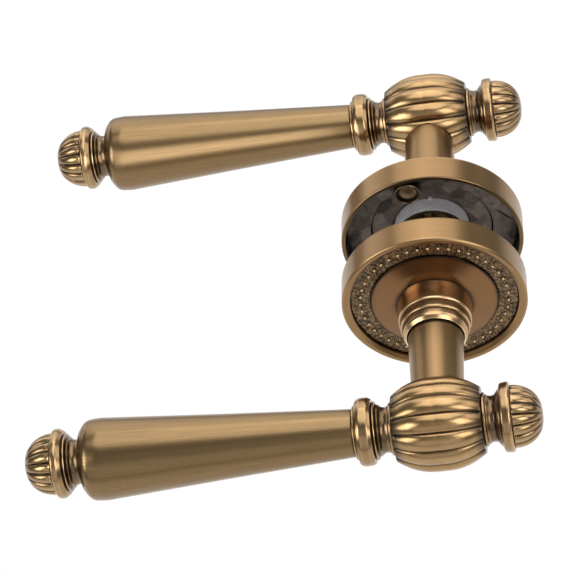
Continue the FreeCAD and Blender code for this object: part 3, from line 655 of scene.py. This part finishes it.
acorn = {
    "ribs": 16, "turn": 0.15, "petal": 0.92, "groove": 0.80, "fullGrooveAt": 7.5,
    "bluntness": 0.82, "arcEnd": 1.52, "arcPoints": 30,
    # painted shade between and beside the ribs, painted highlights on the ribs near the ring
    "creaseDark": 0.62, "creaseWidth": 3.4, "tipDark": 0.10, "petalHighlight": 0.22,
    "flankDark": 0.16, "flankAbove": 8.2, "flankRate": 14, "flankDelay": 4.0,
}


def acornDome(tip, length, radius):
    # Blunt dome: along = tip + length (1 - cos t), radius = R sin(t)^0.82, t from the pole to the ring.
    t = np.linspace(0, acorn["arcEnd"], acorn["arcPoints"])
    return list(zip(tip + length * (1 - np.cos(t)), radius * np.sin(t) ** acorn["bluntness"]))


def acornRibs(start, tip):
    # Ribs from the ring at start to the tip: radius loses groove (1 - arch) min(radius / 7.5, 1), which
    # begins over the first 4 percent of the way and fades over the pole as 1 - share^12.
    def petalsAt(angle):
        return lobeShape(angle, acorn["ribs"], acorn["turn"], acorn["petal"])

    def wave(along, angle, radius):
        share = np.clip((along - start) / (tip - start), 0, 1)
        on = np.clip(share / 0.04, 0, 1) * (1 - share ** 12)
        return -acorn["groove"] * on * np.clip(radius / acorn["fullGrooveAt"], 0, 1) * (1 - petalsAt(angle))

    def shade(along, angle, radius):
        # Patina in the grooves between the ribs, fading across each rib as painted shade; painted highlights
        # on the ribs near the ring; darker towards the tip; patina and painted shade on the flank off the
        # ribs.
        share = np.clip((along - start) / (tip - start), 0, 1)
        on = np.clip(share / 0.02, 0, 1)
        petals = petalsAt(angle)
        crease = -acorn["creaseDark"] * np.exp(-petals * acorn["creaseWidth"])
        ribbed = crease - acorn["tipDark"] * share ** 3 + acorn["petalHighlight"] * (1 - share) * petals ** 3
        beyond = np.clip((start - along) / (tip - start) * acorn["flankRate"] - acorn["flankDelay"], 0, 1)
        flank = acorn["flankDark"] * beyond * (radius > acorn["flankAbove"])
        return on * ribbed + (1 - on) * (patina(along, angle, radius) - flank)

    return {"wave": wave, "shade": shade}


gripFinial = {
    "tip": -113.7, "ribStart": -105.4, "domeLength": 8.3, "domeRadius": 8.55,
    "outline": [
        (-105.42, 8.6, 0.05), (-105.35, 8.0, 0.05), (-105.2, 8.75, 0.15), (-105.0, 9.5, 0.75),
        (-103.6, 9.6, 1.1), (-102.25, 8.7, 0.4), (-102.15, 7.75, 0.05), (-101.95, 7.65, 0.05),
        (-101.8, 8.05, 0.15), (-101.5, 7.9, 0.15), (-101.35, 7.45, 0.1), (-100.95, 6.95, 0.1),
        (-100.75, 7.12, 0.12), (-100.5, 6.8, 0.1), (-100.1, 6.35, 1.0), (-99.1, 6.05, 1.4), (-98.0, 6.5, 0.8),
        (-97.4, 7.3, 0.05), (-97.4, 0.0)],
}

hubFinial = {
    "tip": 28.0, "ribStart": 20.1, "domeLength": 7.9, "domeRadius": 8.5,
    "outline": [
        (12.0, 0.0), (12.0, 6.8, 0.05), (12.2, 7.3, 0.3), (12.9, 7.25, 0.3), (13.05, 6.6, 0.05),
        (13.2, 6.75, 0.2), (14.1, 6.15, 1.2), (15.3, 6.25, 1.2), (16.1, 7.2, 0.2), (16.2, 7.0, 0.05),
        (16.35, 7.6, 0.2), (16.7, 7.7, 0.1), (16.85, 8.4, 0.2), (17.2, 9.3, 0.7), (19.7, 9.55, 0.7),
        (19.95, 8.2, 0.05), (20.05, 8.45, 0.1)],
}

neck = {
    "outline": [
        (0.4, 5.75), (0.4, 7.4, 0.2), (0.8, 7.7, 0.2), (22.3, 7.7, 8.0), (41.0, 7.15, 6.0), (46.0, 7.1, 0.1),
        (46.0, 5.75), (0.4, 5.75)],
    # painted shade where the neck meets the sleeve and the hub
    "sleeveTop": 21.6, "hubRadius": 12.6, "fade": 0.5, "dark": 0.45,
}


def neckShade(along, angle, radius):
    # Painted shade in a ring where the neck comes out of the sleeve, and in a saddle where it meets the round
    # hub: the saddle's level = reach - sqrt(hub radius^2 - (radius sin angle)^2).
    atSleeve = np.exp(-((along - neck["sleeveTop"]) / neck["fade"]) ** 2)
    across = radius * np.sin(angle) / neck["hubRadius"]
    depth = neck["hubRadius"] * np.sqrt(np.clip(1 - across ** 2, 0, 1))
    saddle = np.clip((along - leverReach + depth + neck["fade"]) / neck["fade"], 0, 1)
    return -neck["dark"] * atSleeve - neck["dark"] * saddle


def leverPieces(side):
    hubPiece(side)
    leverPiece(side, "collar", collar["outline"], columns=192, step=0.32, wave=collarWave, shade=collarShade)
    leverPiece(side, "grip", grip["outline"], finish="gripBrass", columns=192, step=0.7, shade=gripShade)

    far = gripFinial
    dome = acornDome(far["tip"], far["domeLength"], far["domeRadius"])
    leverPiece(side, "grip_finial", dome + far["outline"], columns=288, step=0.32,
               **acornRibs(far["ribStart"], far["tip"]))

    near = hubFinial
    dome = acornDome(-near["tip"], near["domeLength"], near["domeRadius"])[::-1]
    leverPiece(side, "hub_finial", near["outline"] + [(-x, r) for x, r in dome], columns=288, step=0.32,
               **acornRibs(near["ribStart"], near["tip"]))

    turnedPiece(side, "neck", neck["outline"], "rose", side + "_lever", "neckBrass", columns=128,
                shade=neckShade)
    print(side, "lever made")


shell = {
    "outline": [
        (5.7, 17.6), (5.7, 24.1, 0.1), (4.9, 24.8, 0.2), (0.15, 24.8, 0.1), (0.0, 25.0, 0.1),
        (0.0, 25.8, 0.15), (0.2, 26.0, 0.15), (8.15, 26.0, 0.35), (8.62, 25.5, 0.5), (8.5, 24.6, 0.8),
        (7.8, 23.65, 0.15), (6.9, 23.5, 0.1), (6.2, 23.4, 0.1), (6.2, 17.9, 0.1), (6.2, 17.6), (5.7, 17.6)],
    # painted shade inside, under the band, on the back edge and on the rim's face
    "bore": 24.95, "floor": 6.0, "insideDark": 0.34,
    "bandRadius": 23.6, "bandTop": 7.2, "bandDark": 0.40,
    "backEdge": 0.35, "backDark": 0.36, "rimFace": 8.1, "rimDark": 0.10,
}


def shellShade(along, angle, radius):
    # Painted shade inside the shell, under the band, on the edge that lies on the door and on the rim's face.
    inside = (radius < shell["bore"]) & (along < shell["floor"])
    underBand = (radius < shell["bandRadius"]) & (along > shell["floor"]) & (along < shell["bandTop"])
    backEdge, rimFace = along < shell["backEdge"], along > shell["rimFace"]
    hidden = shell["insideDark"] * inside + shell["bandDark"] * underBand
    return -hidden - shell["backDark"] * backEdge - shell["rimDark"] * rimFace


disc = {
    "outline": [
        (6.4, 17.35), (7.1, 11.1, 0.2), (7.1, 9.05), (9.1, 9.05), (9.1, 10.4, 0.1), (9.0, 10.9, 0.3),
        (8.55, 13.2, 8.0), (7.4, 17.8, 0.1), (7.25, 17.98, 0.1), (6.6, 18.0, 0.05), (6.6, 17.35),
        (6.4, 17.35)],
    # painted shade round the sleeve's foot and behind the disc
    "sleeveRadius": 10.5, "sleeveFade": 0.5, "sleeveDark": 0.30,
    "backLevel": 7.2, "backRadius": 17.5, "backDark": 0.45,
}


def discShade(along, angle, radius):
    # Painted shade where the sleeve stands on the disc, and painted shade behind.
    atSleeve = np.exp(-np.maximum(radius - disc["sleeveRadius"], 0) / disc["sleeveFade"])
    behind = (along < disc["backLevel"]) & (radius < disc["backRadius"])
    return -disc["sleeveDark"] * atSleeve - disc["backDark"] * behind


sleeve = {
    "outline": [
        (9.1, 9.05), (9.1, 10.5, 0.1), (15.0, 10.35, 0.15), (15.45, 10.15, 0.3), (15.55, 9.75, 0.1),
        (15.6, 9.62, 0.05), (15.8, 9.8, 0.15), (17.5, 9.72, 0.15), (17.95, 9.5, 0.3), (18.05, 9.15, 0.1),
        (18.1, 9.02, 0.05), (18.3, 9.2, 0.15), (19.7, 9.08, 0.5), (20.4, 8.85, 0.4), (20.9, 8.45, 0.5),
        (21.3, 8.15, 0.15), (21.25, 8.0, 0.05), (14.0, 8.0), (14.0, 9.05), (9.1, 9.05)],
    # the lowest tier painted lighter, the two above it painted darker
    "firstTier": 15.2, "paintedTierLight": 0.09,
}


def sleeveShade(along, angle, radius):
    # Painted light on the lowest tier, and painted shade on the two above it.
    return np.where(along < sleeve["firstTier"], sleeve["paintedTierLight"], -sleeve["paintedTierLight"])


crumple = {
    "flats": 170, "reach": 25.0, "seed": 23,       # seeds lie within reach of the middle, in mm
    "slope": 0.085, "depth": 0.26, "blur": 0.9,    # steepest lean, mm of relief, softness of the creases
    "edge": 0.5,                                   # mm over which the relief starts at the inner edge
    "columns": 480, "step": 0.22, "thickness": 0.05,
    "roseFloor": ((5.64, 17.5), (5.64, 24.3)), "discFloor": ((7.06, 10.8), (6.36, 17.12)),
}


def closeRing(face, back=None):
    # Rows of a ring's face, then its last and first row on the back, then the first row again.
    back = face if back is None else back
    return np.concatenate([face, back[[-1, 0]], face[:1]])


def crumpledRing(side, body, name, inner, outer):
    # Raw cast lining between two edges (along, radius). Seeds lie at random, and each point belongs to its
    # nearest seed: height = depth / 2 + lean . (place - seed), so that every seed makes one tilted flat.
    rows = int((outer[1] - inner[1]) / crumple["step"]) + 2
    share = np.linspace(0, 1, rows)[:, None]
    angle = np.linspace(0, fullTurn, crumple["columns"] + 1)[None, :]
    radius = inner[1] + (outer[1] - inner[1]) * share
    place = np.stack([radius * np.cos(angle), radius * np.sin(angle)], 2)
    draw = np.random.default_rng(crumple["seed"] + (side == "rear"))
    seeds = draw.uniform(-crumple["reach"], crumple["reach"], (crumple["flats"], 2))
    lean = draw.uniform(-crumple["slope"], crumple["slope"], (crumple["flats"], 2))
    # a random tone for each flat, painted light and shade standing in for the light on its tilt
    tone = draw.random(crumple["flats"])
    offset = place[:, :, None, :] - seeds
    away = (offset ** 2).sum(3)
    weight = np.exp((away.min(2, keepdims=True) - away) / crumple["blur"])
    weight /= weight.sum(2, keepdims=True)
    height = crumple["depth"] / 2 + (weight * (offset * lean).sum(3)).sum(2)
    height = np.clip(height, 0, crumple["depth"]) * np.clip((radius - inner[1]) / crumple["edge"], 0, 1)
    level = inner[0] + (outer[0] - inner[0]) * share + 0 * angle
    face = np.dstack([place, level - height])
    back = np.dstack([place, level + crumple["thickness"]])
    grid = closeRing(face, back)[None]
    marks = {"relief": closeRing((weight * tone).sum(2)), "height": closeRing(height)}
    uvMap = grid[0, :, :, :2] / uvUnit
    piece = buildMesh(side + "_" + name, toWorld(grid, side, False), marks, uvMap, "castBrass")
    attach(piece, body)


band = {
    "inner": 18.0, "outer": 23.45, "level": 6.8, "thickness": 0.3, "overlap": 0.05,     # mm
    "grain": 0.22, "cell": 0.40, "sink": 0.12, "edge": 0.12,
    "rows": 56, "columns": 1600, "seeds": (3, 11), "lattice": 64,
    "contrast": 0.74, "threshold": 0.15, "edgeTone": 0.7, "uvAround": 0.4,
}
pearls = {
    "circle": 20.75, "radius": 0.55, "lift": 0.05,                  # mm
    "count": 45, "first": 79.6,                                     # degrees
    "rings": 6, "sides": 10,
}


def cellNoise(x, y, seed):
    # Value noise on a unit lattice: random lattice heights joined by the smooth ramp 3 f^2 - 2 f^3.
    size = band["lattice"]
    table = np.random.default_rng(seed).random((size, size))
    ix, iy = np.floor(x).astype(int), np.floor(y).astype(int)
    fx, fy = x - ix, y - iy
    fx, fy = fx * fx * (3 - 2 * fx), fy * fy * (3 - 2 * fy)

    def at(i, j):
        return table[(ix + i) % size, (iy + j) % size]

    return (at(0, 0) * (1 - fx) + at(1, 0) * fx) * (1 - fy) + (at(0, 1) * (1 - fx) + at(1, 1) * fx) * fy


def stippledBand(side, body):
    # Closed ring whose top is fine grain: height = 0.5 lattice noise + 0.5 folded noise at twice the
    # frequency, and the noise counts whole cells round the ring so that it meets itself.
    inner, outer = band["inner"] - band["overlap"], band["outer"] + band["overlap"]
    radius = np.linspace(inner, outer, band["rows"])[:, None]
    angle = np.linspace(0, fullTurn, band["columns"] + 1)[None, :]
    cells = band["lattice"] * round(fullTurn * pearls["circle"] / band["cell"] / band["lattice"])
    coarseSeed, fineSeed = (seed + (side == "rear") for seed in band["seeds"])
    coarse = cellNoise(radius / band["cell"], angle * cells / fullTurn, coarseSeed)
    fine = cellNoise(radius * 2 / band["cell"] + 7.7, angle * cells / math.pi, fineSeed)
    height = 0.5 * coarse + 0.5 * (1 - np.abs(2 * fine - 1))
    rising = np.clip((radius - band["inner"]) / band["edge"], 0, 1)
    falling = np.clip((band["outer"] - radius) / band["edge"], 0, 1)
    edge = rising * falling
    level = band["level"] - band["sink"] + band["grain"] * height * edge
    top = np.stack([radius * np.cos(angle), radius * np.sin(angle), level], 2)
    grid = closeRing(top, top - [0, 0, band["thickness"]])[None]
    tone = band["contrast"] * (height - band["threshold"]) * np.maximum(edge, band["edgeTone"])
    reach = np.hypot(grid[0, :, :, 0], grid[0, :, :, 1])
    uvMap = np.stack([angle * band["uvAround"] + 0 * reach, reach / uvUnit], 2)
    marks = {"relief": closeRing(np.clip(tone, 0, 1))}
    piece = buildMesh(side + "_stippled_band", toWorld(grid, side, False), marks, uvMap, "bandBrass")
    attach(piece, body)


def pearlRow(side, body):
    # Balls of radius R round the pearl circle, sunk to their middles: R (sin p cos t, sin p sin t, cos p).
    # Their relief falls from a painted highlight on the crown to painted shade at the foot.
    polar = np.linspace(0, math.pi, pearls["rings"] + 1)[:, None]
    turn = np.linspace(0, fullTurn, pearls["sides"] + 1)[None, :]
    ball = np.stack([np.sin(polar) * np.cos(turn), np.sin(polar) * np.sin(turn), np.cos(polar) + 0 * turn], 2)
    flip = 1 if side == "front" else -1
    angles = np.radians(flip * (pearls["first"] + np.arange(pearls["count"]) * 360.0 / pearls["count"]))
    level = np.full(len(angles), band["level"] + pearls["lift"])
    centres = np.stack([pearls["circle"] * np.cos(angles), pearls["circle"] * np.sin(angles), level], 1)
    grid = pearls["radius"] * ball[None] + centres[:, None, None, :]
    # painted highlight on the crown, painted shade at the foot
    relief = np.clip(1.1 - polar / 2.4, 0, 1) + 0 * turn
    uvMap = np.stack(np.broadcast_arrays(turn / uvUnit, polar / uvUnit), 2)
    piece = buildMesh(side + "_pearls", toWorld(grid, side, False), {"relief": relief}, uvMap, "turnedBrass")
    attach(piece, body)


def rosePieces(side):
    body = "front_cover" if side == "front" else "rear_rose"
    turnedPiece(side, "rose_shell", shell["outline"], "rose", body, "wallBrass", columns=256, step=0.5,
                fine=0.3, shade=shellShade)
    turnedPiece(side, "rose_disc", disc["outline"], "rose", body, "discBrass", columns=192, shade=discShade)
    turnedPiece(side, "rose_sleeve", sleeve["outline"], "rose", body, "sleeveBrass", columns=192, step=0.35,
                shade=sleeveShade)
    crumpledRing(side, body, "rose_floor", *crumple["roseFloor"])
    crumpledRing(side, body, "disc_floor", *crumple["discFloor"])
    stippledBand(side, body)
    pearlRow(side, body)
    print(side, "rose made")


posts = {
    "circle": 38.0, "angle": 103.9,                # mm across, degrees
    "radius": 3.75, "mouth": 1.5, "bore": 2.25, "depth": 0.8, "root": 5.8,
    # painted shade on the post, painted light at the end of its hole
    "dark": 0.38, "pale": 0.40,
}


def postShade(along, angle, radius):
    # Painted light at the end of the hole, painted shade down the funnel, on the lip and outside.
    litHoleEnd = (radius < posts["bore"]) & (along < (posts["mouth"] + posts["root"]) / 2)
    return np.where(litHoleEnd, posts["pale"], -posts["dark"])


def screwPosts():
    # Two bosses inside the rear rose: a funnel leads down to the end of each hole, which is painted light.
    low, radius, bore, root = posts["mouth"], posts["radius"], posts["bore"], posts["root"]
    end = low + posts["depth"]
    outline = [
        (end - 0.15, 0.0), (end - 0.1, 1.1, 0.5), (end, bore - 0.15, 0.2), (end - 0.1, bore + 0.1, 0.1),
        (low + 0.3, radius - 0.6, 0.3), (low, radius - 0.4, 0.05), (low, radius - 0.12, 0.1),
        (low + 0.15, radius, 0.1), (root, radius), (root, 0.0)]
    angle = math.radians(posts["angle"])
    place = posts["circle"] / 2 * np.array([math.cos(angle), -math.sin(angle)])
    turnedPiece("rear", "screw_posts", outline, "rose", "rear_rose", "postBrass", slot="cast_brass",
                columns=64, step=0.2, shade=postShade, centres=[place, -place])


for sideName in ("front", "rear"):
    leverPieces(sideName)
    rosePieces(sideName)
screwPosts()
print("screw posts made")


keptNodes = {
    # nodes that keep their CAD shape, by finish
    "nylon": ["front_bush", "rear_bush"],
    "darkSteel": ["front_washer", "rear_washer", "front_retaining_ring", "rear_retaining_ring"],
    "zincSteel": ["spindle", "front_base_plate", "front_grub_screw", "rear_grub_screw",
                  "front_grip_stud", "rear_grip_stud", "front_knob_stud", "rear_knob_stud",
                  "front_tip_stud", "rear_tip_stud"],
}

for finishName, nodeNames in keptNodes.items():
    for nodeName in nodeNames:
        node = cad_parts[nodeName]
        node.data.materials.clear()
        node.data.materials.append(finishes[finishName])
print("CAD nodes finished")
